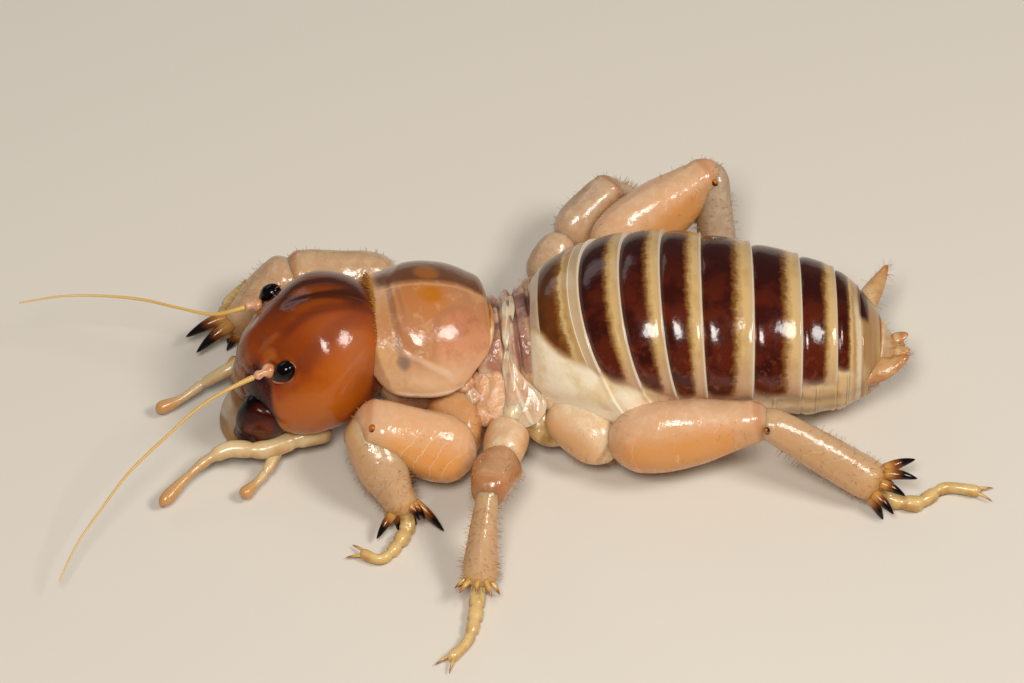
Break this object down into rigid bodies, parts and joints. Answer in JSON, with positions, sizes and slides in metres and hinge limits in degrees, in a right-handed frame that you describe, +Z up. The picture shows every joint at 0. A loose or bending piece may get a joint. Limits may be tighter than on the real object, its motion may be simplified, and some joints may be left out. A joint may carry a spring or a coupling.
{
  "type": "jerusalem cricket",
  "caption": "Life-size still model of a Point Conception Jerusalem cricket, crouched, with an amber head and a banded abdomen.",
  "frame": {"origin": "centre of the bounding box's underside, on the floor between the feet", "axes": "+X from the head toward the tail, +Y toward the animal's right, +Z up from the floor"},
  "size_m": [0.0346, 0.0216, 0.0063],
  "materials": {
    "banded_plate": "glossy maroon bands with straw-yellow rear edges",
    "tail_skin": "waxy pale orange",
    "head_shell": "polished amber brown",
    "eye": "glossy black",
    "jaw": "glossy dark maroon",
    "lip": "pale grey-brown, satin",
    "straw_skin": "translucent straw yellow",
    "feeler_skin": "golden, finely ringed",
    "shield_shell": "glassy peach with an amber rim",
    "soft_skin": "moist pinkish white",
    "leg_skin": "waxy translucent peach"
  },
  "bodies": {
    "root": {"abdomen_ring_1": "banded_plate", "abdomen_ring_2": "banded_plate", "abdomen_ring_3": "banded_plate", "abdomen_ring_4": "banded_plate", "abdomen_ring_5": "banded_plate", "abdomen_ring_6": "banded_plate", "abdomen_ring_7": "banded_plate", "abdomen_ring_8": "banded_plate", "abdomen_ring_9": "banded_plate", "abdomen_tip": "tail_skin", "cercus_left": "tail_skin", "cercus_right": "tail_skin", "clypeus": "head_shell", "eye_left": "eye", "eye_right": "eye", "feeler_left": "feeler_skin", "feeler_right": "feeler_skin", "front_left_coxa": "leg_skin", "front_left_femur": "leg_skin", "front_left_foot": "straw_skin", "front_left_tibia": "leg_skin", "front_right_coxa": "leg_skin", "front_right_femur": "leg_skin", "front_right_foot": "straw_skin", "front_right_tibia": "leg_skin", "head": "head_shell", "hind_left_coxa": "leg_skin", "hind_left_femur": "leg_skin", "hind_left_foot": "straw_skin", "hind_left_tibia": "leg_skin", "hind_right_coxa": "leg_skin", "hind_right_femur": "leg_skin", "hind_right_foot": "straw_skin", "hind_right_tibia": "leg_skin", "labial_palp_left": "straw_skin", "labial_palp_right": "straw_skin", "labium": "lip", "labrum": "lip", "mandible_left": "jaw", "mandible_right": "jaw", "maxillary_palp_left": "straw_skin", "maxillary_palp_right": "straw_skin", "mesothorax": "soft_skin", "metathorax": "soft_skin", "mid_left_coxa": "leg_skin", "mid_left_femur": "leg_skin", "mid_left_foot": "straw_skin", "mid_left_tibia": "leg_skin", "mid_left_trochanter": "leg_skin", "mid_right_coxa": "leg_skin", "mid_right_femur": "leg_skin", "mid_right_foot": "straw_skin", "mid_right_tibia": "leg_skin", "mid_right_trochanter": "leg_skin", "pronotum": "shield_shell", "prothorax": "soft_skin", "scape_left": "feeler_skin", "scape_right": "feeler_skin"}
  },
  "joints": []
}
